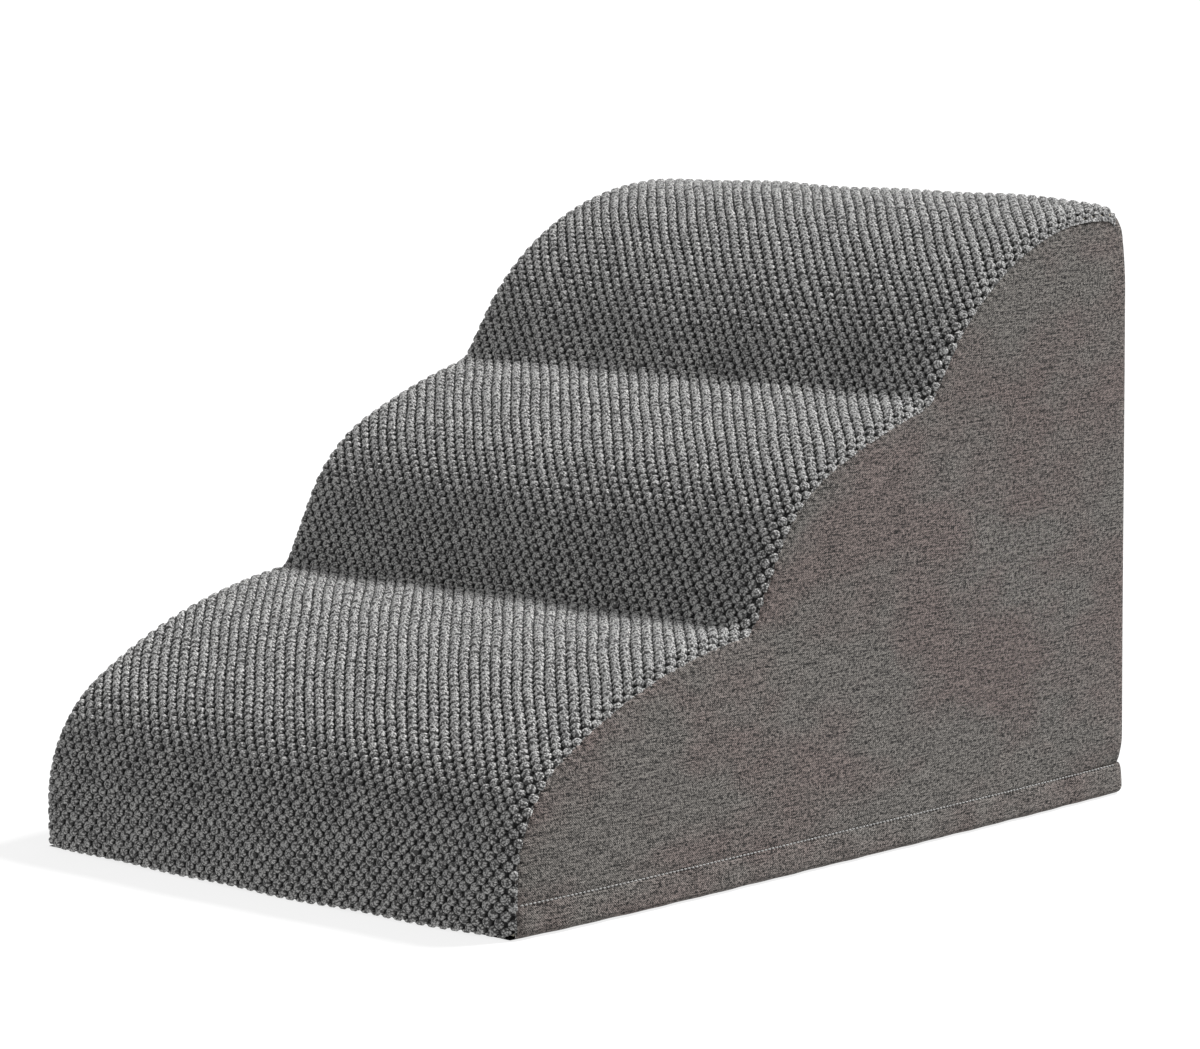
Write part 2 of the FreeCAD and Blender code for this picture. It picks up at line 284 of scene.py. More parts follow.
def smooth_piece(name, points, quads, flat, material, body="ramp"):
    """A smooth mesh from points and the corners of its quads."""
    corners = quads.reshape(-1).astype(np.int32)
    mesh = bpy.data.meshes.new(name)
    mesh.vertices.add(points.size // 3)
    mesh.vertices.foreach_set("co", points.reshape(-1).astype(np.float32))
    mesh.loops.add(len(corners))
    mesh.loops.foreach_set("vertex_index", corners)
    mesh.polygons.add(len(corners) // 4)
    mesh.polygons.foreach_set("loop_start", np.arange(0, len(corners), 4, dtype=np.int32))
    mesh.polygons.foreach_set("use_smooth", np.ones(len(corners) // 4, bool))
    places = flat.reshape(-1, 2)[corners].reshape(-1).astype(np.float32)
    mesh.uv_layers.new(name="flat").data.foreach_set("uv", places)
    mesh.update(calc_edges=True)
    mesh.materials.append(material)
    piece = bpy.data.objects.new(name, mesh)
    bpy.context.scene.collection.objects.link(piece)
    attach(piece, body)
    return piece


def nub_gap(tree, u, v):
    """Distance from the middle of the nearest nub, in nub radii."""
    one = sum_of(tree, "DIVIDE", u, NUB_ACROSS)
    other = sum_of(tree, "DIVIDE", v, NUB_ALONG)
    slant = sum_of(tree, "ADD", one, other)
    cross = sum_of(tree, "SUBTRACT", one, other)
    slant = sum_of(tree, "SUBTRACT", slant, sum_of(tree, "ROUND", slant))
    cross = sum_of(tree, "SUBTRACT", cross, sum_of(tree, "ROUND", cross))
    x = sum_of(tree, "MULTIPLY", sum_of(tree, "ADD", slant, cross), NUB_ACROSS / 2 / NUB_RADIUS)
    y = sum_of(tree, "MULTIPLY", sum_of(tree, "SUBTRACT", slant, cross), NUB_ALONG / 2 / NUB_RADIUS)
    far = sum_of(tree, "ADD", sum_of(tree, "MULTIPLY", x, x), sum_of(tree, "MULTIPLY", y, y))
    return sum_of(tree, "SQRT", far)


knit, tree, shader = new_material("bubble_knit", roughness=0.95, sheen=0.45)
shader.inputs["Sheen Roughness"].default_value = 0.5
flat = flat_place(tree)
gap = nub_gap(tree, *apart(tree, flat))
loops = sum_of(tree, "MULTIPLY", clouds(tree, flat, 1300.0), 0.5)
loops = sum_of(tree, "ADD", cells(tree, flat, 850.0), loops)
loops = ramp(
    tree, loops,
    (0.30, (0.55, 0.55, 0.55)), (0.48, (1, 1, 1)), (0.68, (0.66, 0.66, 0.66)), (0.88, (0.06, 0.06, 0.06)),
)
# Nub colour by the distance from the nub's middle. The bright ring near the rim is a painted sheen
# highlight, and the near-black in the gaps between the nubs is painted shade.
shade = ramp(
    tree, gap,
    (0.0, (0.66, 0.655, 0.642)), (0.45, (0.76, 0.755, 0.74)), (0.80, (0.97, 0.96, 0.94)),
    (0.90, (0.50, 0.495, 0.485)), (0.975, (0.03, 0.03, 0.03)),
)
shade = blend_colours(tree, 0.95, shade, loops, "MULTIPLY")
patches = ramp(tree, clouds(tree, flat, 45.0, 3.0), (0.35, (0.86, 0.86, 0.87)), (0.65, (1, 1, 1)))
tree.links.new(blend_colours(tree, 1.0, shade, patches, "MULTIPLY"), shader.inputs["Base Color"])
emboss(tree, shader, loops, 0.0006, 0.9)


def seam_drop(y):
    """How far the side seam lies below the crest. It drops further near the rear."""
    return SEAM_DROP + REAR_DROP * np.clip(1 - (knit_line[-1, 0] - y) / 0.07, 0, 1) ** 1.5


half_cloth = FLAT_HALF + EDGE_ROLL * np.arccos(1 - seam_drop(knit_line[:, :1]) / EDGE_ROLL)
half_cloth = half_cloth + SEAM_LAP
share = np.linspace(-1, 1, int(round(2 * half_cloth.max() / KNIT_STEP)) + 1)[None]
u = share * half_cloth
s = np.broadcast_to(np.arange(len(knit_line))[:, None] * KNIT_STEP, u.shape)
angle = np.clip(np.abs(u) - FLAT_HALF, 0, None) / EDGE_ROLL
side = np.sign(u)
x = side * (np.minimum(np.abs(u), FLAT_HALF) + EDGE_ROLL * np.sin(angle))
drop = EDGE_ROLL * (1 - np.cos(angle))
warped_u = u + 0.0004 * np.sin(s * 93 + u * 31) + 0.00012 * np.sin(s * 410 - u * 230)
warped_s = s + 0.0004 * np.sin(u * 85 - s * 27 + 1) + 0.00012 * np.sin(u * 390 + s * 210)
near_seam = np.clip((half_cloth - np.abs(u)) / 0.003, 0, 1)
near_foot = np.clip((s - 0.001) / 0.004, 0, 1)
near_rear = np.clip((crest_length - s) / 0.003, 0, 1)
calm = (0.25 + 0.75 * near_seam) * (0.6 + 0.4 * near_foot) * (0.3 + 0.7 * near_rear)
soft = 0.0006 * np.sin(u * 31 + 1.3) * np.sin(s * 23 + 0.4) + 0.0005 * np.sin(u * 57 + s * 41)
to_rear = np.clip(1 - (knit_line[-1, 0] - knit_line[:, :1]) / 0.17, 0, 1)
full = (0.0010 + 0.0044 * np.sqrt(to_rear) * near_rear) * crown(x)
sunk = (0.0019 + 0.0007 * crown(x)) * near_seam
lift = NUB_HEIGHT * nub_height(warped_u, warped_s) * calm + soft * crown(x) - sunk + full
turned = np.cos(angle)
y = knit_line[:, :1] - knit_out[:, :1] * drop + knit_out[:, :1] * turned * lift
y = y - (0.0014 * crown(x) + FRONT_BOW * np.exp(-s / 0.10) * (1 - (x / HALF_WIDTH) ** 2))
z = knit_line[:, 1:] - knit_out[:, 1:] * drop + knit_out[:, 1:] * turned * lift
points = np.stack([x + side * np.sin(angle) * lift, y, np.maximum(z, 0.0004)], axis=-1)
tread = skin("tread_cover", points, np.stack([warped_u, warped_s], axis=-1), knit)
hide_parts("tread_panel")


# ---- Side panels ----
# Linen-look cloth in a warm grey melange, one panel each side, cut to the wave. The foam
# pushes it out a little in the middle, and the curved seam draws it in along its upper edge.

HEM_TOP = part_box("side_panel_right")[0][2]
FRONT_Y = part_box("tread_panel")[0][1]
BACK_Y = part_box("back_panel_upper")[1][1]
TOP_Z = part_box("tread_panel")[1][2]
REAR_ROUND = 0.020
REAR_CENTRE = np.array([BACK_Y - REAR_ROUND, TOP_Z - REAR_ROUND])
THREAD_PITCH = 0.0008
SIDE_BOW = 0.006
SIDE_PUFF = 0.0030
CORNER_ROLL = 0.008
CORNER_SWELL = 0.0026
SET_IN = 0.0006


def streaks(tree, flat, along, across, start):
    """Uneven yarn: noise drawn out to a length and a thickness in metres."""
    stretched = tree.nodes.new("ShaderNodeMapping")
    tree.links.new(flat, stretched.inputs["Vector"])
    stretched.inputs["Location"].default_value = (start, 2 * start, 0)
    stretched.inputs["Scale"].default_value = (1 / along, 1 / across, 1)
    return clouds(tree, stretched.outputs[0], 1.0, 3.0, 0.6)


def woven_cloth(name, dark, light, warm, cool):
    """Plain-woven melange cloth, with slubs along both threads and patches of tint."""
    material, tree, shader = new_material(name, roughness=0.92, sheen=0.08)
    flat = flat_place(tree)
    u, v = apart(tree, flat)
    weft = streaks(tree, flat, 0.0036, 0.0010, 3.0)
    warp = streaks(tree, flat, 0.0011, 0.0032, 40.0)
    yarn = sum_of(tree, "ADD", sum_of(tree, "MULTIPLY", weft, 0.55), sum_of(tree, "MULTIPLY", warp, 0.45))
    slubs = streaks(tree, flat, 0.022, 0.0016, 21.0)
    fleck = sum_of(tree, "ADD", slubs, clouds(tree, flat, 950.0, 1.0))
    yarn = sum_of(tree, "ADD", yarn, sum_of(tree, "MULTIPLY_ADD", fleck, 0.26, -0.26))
    tint = ramp(tree, streaks(tree, flat, 0.13, 0.08, 9.0), (0.42, cool), (0.58, warm))
    shade = ramp(tree, yarn, (0.42, dark), (0.59, light))
    shade = blend_colours(tree, 1.0, shade, tint, "MULTIPLY")
    tree.links.new(shade, shader.inputs["Base Color"])
    waves = [
        sum_of(tree, "SINE", sum_of(tree, "MULTIPLY", coordinate, math.pi / THREAD_PITCH))
        for coordinate in (u, v)
    ]
    bend = sum_of(tree, "MULTIPLY", sum_of(tree, "MULTIPLY", *waves), 0.5)
    emboss(tree, shader, sum_of(tree, "ADD", bend, yarn), 0.0005, 0.9)
    return material


woven = woven_cloth(
    "melange_weave", dark=(0.010, 0.0092, 0.0086), light=(0.319, 0.302, 0.289),
    warm=(0.95, 0.81, 0.785), cool=(0.95, 0.93, 0.895),
)
seam_line = crest - outward(crest) * seam_drop(crest[:, :1])
seam_x = FLAT_HALF + EDGE_ROLL * np.sin(np.arccos(1 - seam_drop(crest[:, 0]) / EDGE_ROLL))
above_hem = seam_line[seam_line[:, 1] > HEM_TOP]


def bow(y):
    """How far the foot of a side bellies out along its length, from 0 at the ends to 1."""
    middle = (FRONT_Y + BACK_Y) / 2
    return np.clip(1 - ((y - middle) / (BACK_Y - middle)) ** 4, 0, 1)


def corner_swell(z):
    """How far the stuffing pushes the rear corners out at a height."""
    rise = np.clip((z - HEM_TOP) / 0.02, 0, 1)
    fall = np.clip((TOP_Z - 0.008 - z) / 0.05, 0, 1)
    return CORNER_SWELL * np.sin(rise * math.pi / 2) * np.sin(fall * math.pi / 2)


def rear_curve(count):
    """The rear round in (y, z), from the upright back to the end of the knit."""
    last = np.arctan2(*(crest[-1] - REAR_CENTRE)[::-1])
    turn = np.linspace(0, last, count)
    way = np.stack([np.cos(turn), np.sin(turn)], axis=1)
    return REAR_CENTRE + REAR_ROUND * way


def inside_back(y, z):
    """How far a point of the side view lies inside the back and its rear round."""
    over = np.stack([y, z], axis=-1) - REAR_CENTRE
    round_part = REAR_ROUND - np.hypot(over[..., 0], over[..., 1])
    return np.where((over[..., 0] > 0) & (over[..., 1] > 0), round_part, BACK_Y - y)


def round_the_corner(grid, from_back):
    """The side view's points moved back by the cloth that the rolled rear corner takes up."""
    over = np.clip(grid - REAR_CENTRE, 1e-9, None)
    ways = over / np.linalg.norm(over, axis=-1, keepdims=True)
    into = np.clip(1 - from_back / CORNER_ROLL, 0, 1)
    return grid + ways * (CORNER_ROLL * (np.arcsin(into) - into))[..., None]


def corner_inset(from_back):
    """How far the rolled rear corner draws in, by the distance from the back."""
    into = np.clip(1 - from_back / CORNER_ROLL, 0, 1)
    return CORNER_ROLL * (1 - np.sqrt(np.clip(1 - into ** 2, 0, 1)))


def from_edge(count):
    """Shares from 0 to 1 that crowd together at both ends."""
    return 0.5 - 0.5 * np.cos(np.linspace(0, math.pi, count))


def side_points(rows, columns):
    """A grid in (y, z) from the seam line down and back to the hem and the rear edge."""
    upper = evenly(np.vstack([[above_hem[0, 0], HEM_TOP], above_hem]), 0.001)
    corner = [[above_hem[0, 0], HEM_TOP], [BACK_Y, HEM_TOP]]
    lower = evenly(np.vstack([corner, rear_curve(12)]), 0.001)
    share = np.linspace(0, 1, columns)
    edges = [
        np.stack([np.interp(share, np.linspace(0, 1, len(e)), e[:, k]) for k in range(2)], axis=1)
        for e in (upper, lower)
    ]
    down = from_edge(rows)[:, None, None]
    return edges[0][None] * (1 - down) + edges[1][None] * down


for side, name in ((1, "right"), (-1, "left")):
    grid = side_points(170, 760)
    reach = np.hypot(*(grid[-1] - grid[0]).T)[None]
    from_seam = from_edge(len(grid))[:, None] * reach
    from_back = np.clip(inside_back(grid[..., 0], grid[..., 1]), 0, None)
    above = grid[..., 1] - HEM_TOP
    fullness = np.clip(np.minimum(from_seam, np.minimum(above, from_back)), 0, None)
    pucker = 0.0005 * np.sin(np.arange(grid.shape[1])[None] * 0.8 + side) * np.exp(-from_seam / 0.006)
    tuck = 0.0014 * np.exp(-from_seam / 0.0012) + 0.0006 * np.exp(-above / 0.0015)
    puff = SIDE_PUFF * (1 - np.exp(-fullness / 0.05))
    belly = SIDE_BOW * bow(grid[..., 0]) * np.exp(-above / 0.09)
    waves = np.sin(grid[..., 0] * 19 + 2 * side) * np.sin(grid[..., 1] * 27 + 1)
    waves = 0.0007 * waves * np.clip(fullness / 0.03, 0, 1)
    swell = corner_swell(grid[..., 1]) * np.exp(-from_back / 0.04)
    out = HALF_WIDTH - SET_IN + puff + pucker - tuck + belly + waves + swell - corner_inset(from_back)
    points = np.stack([side * out, grid[..., 0] + swell, grid[..., 1]], axis=-1)
    flat = round_the_corner(grid, from_back)
    order = slice(None, None, side)
    panel = skin("side_cover_" + name, points[:, order], flat[:, order].copy(), woven)
    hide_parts("side_panel_" + name)


# ---- Back panels ----
# The same melange cloth, one panel above the zip and one below. Each folds inwards along the
# zip opening, and the upper one follows the rear round up to the end of the knit.

ZIP_Z = sum(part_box("zip_slider")[i][2] for i in (0, 1)) / 2
SLOT_HALF_HEIGHT = 0.006
SLOT_HALF_LENGTH = 0.186
FOLD = 0.0014
BACK_CROWN = 0.0022
BACK_HALF = HALF_WIDTH - CORNER_ROLL + SEAM_LAP


def slot_edge(x):
    """Half the height of the zip opening at a place across the back."""
    share = np.clip((SLOT_HALF_LENGTH - np.abs(x)) / 0.006, 0, 1)
    return SLOT_HALF_HEIGHT * np.sqrt(1 - (1 - share) ** 2)


def back_out(x, z):
    """How far the back stands out from its flat plane."""
    full = np.clip(1 - (x / BACK_HALF) ** 2, 0, 1)
    waves = 0.0005 * np.sin(x * 23 + 1) * np.sin(z * 31)
    near_zip = np.exp(-((np.abs(z - ZIP_Z) - SLOT_HALF_HEIGHT) / 0.012) ** 2)
    near_zip = np.where(np.abs(z - ZIP_Z) < SLOT_HALF_HEIGHT, 1.0, near_zip)
    calm = 1 - near_zip * np.clip((BACK_HALF - np.abs(x)) / (BACK_HALF - SLOT_HALF_LENGTH), 0, 1)
    rise = np.clip((z - HEM_TOP) / 0.03, 0, 1)
    return (corner_swell(z) + BACK_CROWN * full * rise + waves * full) * calm - SET_IN


x = np.linspace(-BACK_HALF, BACK_HALF, 420)[None]
fold = np.linspace(0, math.pi * 0.75, 8)[1:, None]
for side, name in ((1, "upper"), (-1, "lower")):
    above_zip = side > 0
    edge = ZIP_Z + slot_edge(x) * side
    edge = edge + FOLD * side
    far = REAR_CENTRE[1] if above_zip else HEM_TOP
    share = np.linspace(0, 1, 260 if above_zip else 30)[:, None]
    z = far + (edge - far) * share
    y = BACK_Y + back_out(x, z)
    if above_zip:
        over = rear_curve(18)[::-1][:-1]
        turn = np.arctan2(over[:, 1] - REAR_CENTRE[1], over[:, 0] - REAR_CENTRE[0])[:, None]
        rise = REAR_CENTRE[1] + REAR_ROUND * np.sin(turn)
        out = REAR_ROUND + back_out(x, rise)
        z = np.vstack([REAR_CENTRE[1] + out * np.sin(turn), z])
        y = np.vstack([REAR_CENTRE[0] + out * np.cos(turn), y])
    in_y = y[-1:] - FOLD * (1 - np.cos(fold))
    in_z = edge - FOLD * np.sin(fold) * side
    y = np.vstack([y, in_y])
    z = np.vstack([z, in_z])
    points = np.stack([np.broadcast_to(x, y.shape), y, z], axis=-1)
    if not above_zip:
        points = points[::-1]
    panel = skin("back_cover_" + name, points[:, ::-1], points[:, ::-1, ::2].copy(), woven)
    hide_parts("back_panel_" + name)


# ---- Hem bands ----
# The turned-up foot of the cover: a doubled strip of the side cloth, 20 mm high, that rounds
# under to the base cloth. One runs along each side and one along the back.

BAND_FAT = 0.0011
BAND_CURL = 0.0045
HEM_SWELL = 0.0020
HEM_POINTS = 620

turn = np.linspace(0, math.pi / 2, 12)[1:]
up = np.linspace(HEM_TOP, floor_z + BAND_CURL, 20)
share = (HEM_TOP - up) / (up[0] - up[-1])
out = BAND_FAT * np.sin(share * math.pi / 2) - 0.0009 * np.exp(-share / 0.08)
section_out = np.r_[-0.0045, -0.0020, out, out[-1] - BAND_CURL * (1 - np.cos(turn))]
section_up = np.r_[HEM_TOP + 0.0003, HEM_TOP + 0.0002, up, floor_z + BAND_CURL * (1 - np.sin(turn))]
section_run = np.r_[0, np.cumsum(np.hypot(np.diff(section_out), np.diff(section_up)))]


def band(name, path, ways, swell, replaced):
    """A hem band along a path of (x, y) points, with its outward ways and how far it swells."""
    out = section_out[:, None] + swell[None]
    flat = path[None] + ways[None] * out[..., None]
    z = np.repeat(section_up[:, None], len(path), axis=1)
    run = np.r_[0, np.cumsum(np.hypot(*np.diff(path, axis=0).T))]
    places = np.stack(np.broadcast_arrays(run[None] + path[0, 1], HEM_TOP - section_run[:, None]), axis=-1)
    piece = skin(name, np.concatenate([flat, z[..., None]], axis=-1), places.copy(), woven)
    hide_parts(replaced)


def rear_swell(y):
    """How far the hem swells out towards its rear corner."""
    return HEM_SWELL * np.exp(-np.clip(BACK_Y - y, 0, None) / 0.04)


def ripple(along):
    """The slight waves that stitching leaves in a hem."""
    return 0.0003 * np.sin(along * 210) + 0.0003 * np.sin(along * 97 + 1)


hem_start = above_hem[0, 0]
turn = np.linspace(0, math.pi / 2, 24)[1:]
for side, name in ((1, "right"), (-1, "left")):
    y = np.linspace(hem_start, BACK_Y - CORNER_ROLL, HEM_POINTS)
    x = np.full_like(y, HALF_WIDTH)
    x = np.r_[x, HALF_WIDTH - CORNER_ROLL * (1 - np.cos(turn))]
    y = np.r_[y, BACK_Y - CORNER_ROLL * (1 - np.sin(turn))]
    across = side * np.r_[np.ones(HEM_POINTS), np.cos(turn)]
    back = np.r_[np.zeros(HEM_POINTS), np.sin(turn)]
    ways = np.stack([across, back], axis=1)
    front_tuck = 0.0015 * np.exp(-(y - hem_start) / 0.0025)
    waves = ripple(y) * np.clip((BACK_Y - CORNER_ROLL - y) / 0.02, 0, 1)
    swell = SIDE_BOW * bow(y) - front_tuck + waves + rear_swell(y)
    path = np.stack([side * x, y], axis=1)
    order = slice(None, None, side)
    band("hem_" + name, path[order], ways[order], swell[order], "hem_band_" + name)

x = np.linspace(BACK_HALF, -BACK_HALF, 420)
path = np.stack([x, np.full_like(x, BACK_Y)], axis=1)
from_end = BACK_HALF - np.abs(x)
swell = HEM_SWELL + ripple(x) * np.clip(from_end / 0.02, 0, 1) - 0.0005 * np.exp(-from_end / 0.002)
band("hem_back", path, np.tile([0.0, 1.0], (len(x), 1)), swell, "hem_band_back")


# ---- Edge seams ----
# The lockstitch that joins the knit to each side panel, in a pale grey polyester thread. Its
# short stitches show in the ditch between the two cloths, from the floor to the rear round.

STITCH_PITCH = 0.0034
STITCH_LENGTH = 0.0021
THREAD_RADIUS = 0.0005


def strands(name, paths, outs, radii, material, body="ramp", sides=8, flatten=1.0):
    """Round strands swept along paths of (strand, point, xyz), with a radius at each point."""
    paths = np.asarray(paths, float)
    tangent = np.gradient(paths, axis=1)
    tangent /= np.linalg.norm(tangent, axis=-1, keepdims=True)
    outs = np.broadcast_to(outs, paths.shape)
    across = np.cross(tangent, outs)
    across /= np.linalg.norm(across, axis=-1, keepdims=True)
    up = np.cross(across, tangent)
    turn = np.arange(sides) / sides * 2 * math.pi
    radii = np.broadcast_to(radii, paths.shape[:2])[..., None, None]
    ring = up[:, :, None] * np.cos(turn)[:, None] * flatten + across[:, :, None] * np.sin(turn)[:, None]
    points = paths[:, :, None] + ring * radii
    index = np.arange(points.size // 3).reshape(points.shape[:3])
    beside = np.roll(index, -1, axis=2)
    quads = [index[:, :-1], index[:, 1:], beside[:, 1:], beside[:, :-1]]
    run = np.cumsum(np.linalg.norm(np.diff(paths, axis=1, prepend=paths[:, :1]), axis=-1), axis=1)
    around = np.broadcast_to(turn * 0.0005, points.shape[:3])
    flat = np.stack([np.broadcast_to(run[..., None], points.shape[:3]), around], axis=-1)
    return smooth_piece(name, points, np.stack(quads, axis=-1), flat, material, body)


def stitches(name, line, outs, sink, material):
    """A row of stitches along an (n, 3) line, each dipping into the cloth at both ends."""
    run = np.r_[0, np.cumsum(np.linalg.norm(np.diff(line, axis=0), axis=1))]
    starts = np.arange(0.001, run[-1] - STITCH_LENGTH, STITCH_PITCH)
    share = np.linspace(0, 1, 9)
    at = starts[:, None] + share * STITCH_LENGTH
    paths = np.stack([np.interp(at, run, line[:, k]) for k in range(3)], axis=-1)
    ways = np.stack([np.interp(at, run, outs[:, k]) for k in range(3)], axis=-1)
    dip = sink * (2 * share - 1) ** 4
    radii = THREAD_RADIUS * (1 - 0.75 * (2 * share - 1) ** 6)
    return strands(name, paths - ways * dip[None, :, None], ways, radii, material)


def twisted_thread(name, dark, light):
    """Two-ply thread, with its twist as slanting lines."""
    material, tree, shader = new_material(name, roughness=0.6, sheen=0.2)
    u, v = apart(tree, flat_place(tree))
    twist = sum_of(tree, "ADD", sum_of(tree, "MULTIPLY", u, 6500.0), sum_of(tree, "MULTIPLY", v, 4000.0))
    twist = sum_of(tree, "MULTIPLY_ADD", sum_of(tree, "SINE", twist), 0.5, 0.5)
    tree.links.new(ramp(tree, twist, (0.1, dark), (0.8, light)), shader.inputs["Base Color"])
    emboss(tree, shader, twist, 0.0001)
    return material


pale_thread = twisted_thread("pale_thread", (0.30, 0.298, 0.292), (0.62, 0.617, 0.605))
seam_end = seam_line[:, 0] < BACK_Y - REAR_ROUND / 2
for side, name in ((1, "right"), (-1, "left")):
    below = seam_line[seam_end] - outward(crest)[seam_end] * 0.0004
    line = np.column_stack([side * (seam_x[seam_end] - 0.0002), below])
    outs = np.tile([side * 1.0, 0.0, 0.0], (len(line), 1))
    piece = stitches("edge_stitches_" + name, line, outs, 0.0006, pale_thread)
    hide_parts("edge_seam_thread_" + name)


# ---- Hem seams ----
# The topstitch that holds the hem up, in the same thread. It runs 20 mm above the floor along
# both sides and across the back, and sinks a little into the cloth.

seam_z = HEM_TOP + 0.0002
for side, name in ((1, "right"), (-1, "left")):
    y = np.arange(hem_start + 0.002, BACK_Y - CORNER_ROLL, 0.002)
    out = HALF_WIDTH - 0.0004 + SIDE_BOW * bow(y) + rear_swell(y)
    line = np.column_stack([side * out, y, np.full_like(y, seam_z)])
    outs = np.tile([side * 1.0, 0.0, 0.0], (len(line), 1))
    piece = stitches("hem_stitches_" + name, line, outs, 0.0007, pale_thread)
    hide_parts("hem_seam_thread_" + name)

x = np.arange(-BACK_HALF + 0.002, BACK_HALF - 0.002, 0.002)
line = np.column_stack([x, np.full_like(x, BACK_Y + 0.0003), np.full_like(x, seam_z)])
outs = np.tile([0.0, 1.0, 0.0], (len(line), 1))
piece = stitches("hem_stitches_back", line, outs, 0.0007, pale_thread)
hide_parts("hem_seam_thread_back")


# ---- Zip tapes ----
# Two charcoal polyester tapes with a fine herringbone, sewn behind the folded edges of the
# back panels with one row of thread each.

TAPE_DEPTH = 0.00015

tape_cloth, tree, shader = new_material("tape_cloth", roughness=0.85, sheen=0.1)
u, v = apart(tree, flat_place(tree))
bone = sum_of(tree, "PINGPONG", v, 0.0012)
bone = sum_of(tree, "SINE", sum_of(tree, "MULTIPLY", sum_of(tree, "ADD", u, bone), 5200.0))
bone = sum_of(tree, "MULTIPLY_ADD", bone, 0.5, 0.5)
tape_shade = ramp(tree, bone, (0.1, (0.022, 0.022, 0.024)), (0.9, (0.085, 0.084, 0.086)))
tree.links.new(tape_shade, shader.inputs["Base Color"])
emboss(tree, shader, bone, TAPE_DEPTH)

for side, name in ((1, "upper"), (-1, "lower")):
    low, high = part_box("zip_tape_" + name)
    far = high[2] if side > 0 else low[2]
    ends = sorted((ZIP_Z + side * 0.0002, far))
    along = np.linspace(low[0], high[0], 380)
    x, z = np.meshgrid(along, np.linspace(*ends, 28))
    y = high[1] + TAPE_DEPTH * np.sin(x * 160 + z * 300)
    points = np.stack([x, y, z], axis=-1)
    tape = skin("tape_" + name, points, points[..., ::2].copy(), tape_cloth)
    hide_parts("zip_tape_" + name)

    x = np.arange(-SLOT_HALF_LENGTH, SLOT_HALF_LENGTH, 0.002)
    z = np.full_like(x, ZIP_Z + side * (SLOT_HALF_HEIGHT + FOLD + 0.0022))
    line = np.column_stack([x, BACK_Y + back_out(x, z) + 0.0001, z])
    outs = np.tile([0.0, 1.0, 0.0], (len(line), 1))
    stitches("zip_stitches_" + name, line, outs, 0.0006, pale_thread)


# ---- Zip coils ----
# Each is one nylon monofilament wound round a cord and sewn to the tape edge, with the loops
# of the two coils half a turn apart.

WIRE = 0.00032
SLIDE_TRAVEL = 0.340
POINTS_PER_TURN = 14

# A whole number of turns in the travel, so the slider meets the coils alike at both ends
COIL_TURN = SLIDE_TRAVEL / 227

nylon, tree, shader = new_material("coil_nylon", roughness=0.35)
shader.inputs["Specular IOR Level"].default_value = 0.5
grain = clouds(tree, place_on(tree), 900.0)
nylon_shade = ramp(tree, grain, (0.3, (0.030, 0.030, 0.032)), (0.7, (0.060, 0.060, 0.062)))
tree.links.new(nylon_shade, shader.inputs["Base Color"])

for side, name in ((1, "upper"), (-1, "lower")):
    low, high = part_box("zip_coil_" + name)
    turns = (high[0] - low[0]) / COIL_TURN
    turn = np.arange(0, turns, 1 / POINTS_PER_TURN) * 2 * math.pi + (0 if side > 0 else math.pi)
    inner = abs(ZIP_Z - (low[2] if side > 0 else high[2]))
    middle = (inner - 0.0006 + abs((high[2] if side > 0 else low[2]) - ZIP_Z)) / 2
    half = middle - inner + 0.0006 - WIRE
    depth = (high[1] - low[1]) / 2 - WIRE
    radial = np.stack([np.zeros_like(turn), np.sin(turn) * depth, side * np.cos(turn) * half], axis=1)
    axis = np.stack([
        low[0] + (turn - turn[0]) / 2 / math.pi * COIL_TURN,
        np.full_like(turn, (low[1] + high[1]) / 2),
        np.full_like(turn, ZIP_Z + side * middle),
    ], axis=1)
    coil = strands("coil_" + name, (axis + radial)[None], radial[None], WIRE, nylon)
    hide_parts("zip_coil_" + name)


# ---- Zip stops ----
# Three small clamps of grey zinc: one across both coils at the open end and one on each coil
# at the closed end, each pinched round the coil so that its middle is dented.

def cast_zinc(name, dark, light):
    """Tumbled die-cast zinc with a satin finish and a fine grain."""
    material, tree, shader = new_material(name, roughness=0.38, metal=1.0)
    place = place_on(tree)
    grain = clouds(tree, place, 700.0, 4.0, 0.7)
    tree.links.new(ramp(tree, grain, (0.3, dark), (0.7, light)), shader.inputs["Base Color"])
    tree.links.new(ramp(tree, grain, (0.3, (0.30,) * 3), (0.7, (0.52,) * 3)), shader.inputs["Roughness"])
    emboss(tree, shader, grain, 0.00004)
    return material


zinc = cast_zinc("cast_zinc", (0.20, 0.20, 0.21), (0.46, 0.46, 0.47))


def turned_mesh(name, shape, material, body):
    """A piece from a bmesh, smooth except at its sharp edges."""
    mesh = bpy.data.meshes.new(name)
    shape.to_mesh(mesh)
    shape.free()
    mesh.materials.append(material)
    mesh.shade_smooth()
    mesh.set_sharp_from_angle(angle=math.radians(35))
    piece = bpy.data.objects.new(name, mesh)
    bpy.context.scene.collection.objects.link(piece)
    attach(piece, body)
    return piece


def clamp(shape, low, high, dent):
    """Adds a rounded block between two corners, dented in the middle of its outer face."""
    made = bmesh.ops.create_cube(shape, size=1.0)["verts"]
    low, high = np.array(low), np.array(high)
    for vertex in made:
        vertex.co = Vector((low + high) / 2 + np.array(vertex.co) * (high - low))
    edges = list(dict.fromkeys(edge for vertex in made for edge in vertex.link_edges))
    bmesh.ops.subdivide_edges(shape, edges=edges, cuts=6, use_grid_fill=True)
    fresh = [v for v in shape.verts if v.tag is False]
    for vertex in fresh:
        share = (np.array(vertex.co) - low) / (high - low) * 2 - 1
        strong = np.abs(share) ** 4
        pull = max(strong.sum() ** 0.25, 1.0)
        share = share / pull
        share[1] -= dent * (share[1] > 0) * math.exp(-(share[0] / 0.4) ** 2)
        vertex.co = Vector(low + (share + 1) / 2 * (high - low))
        vertex.tag = True


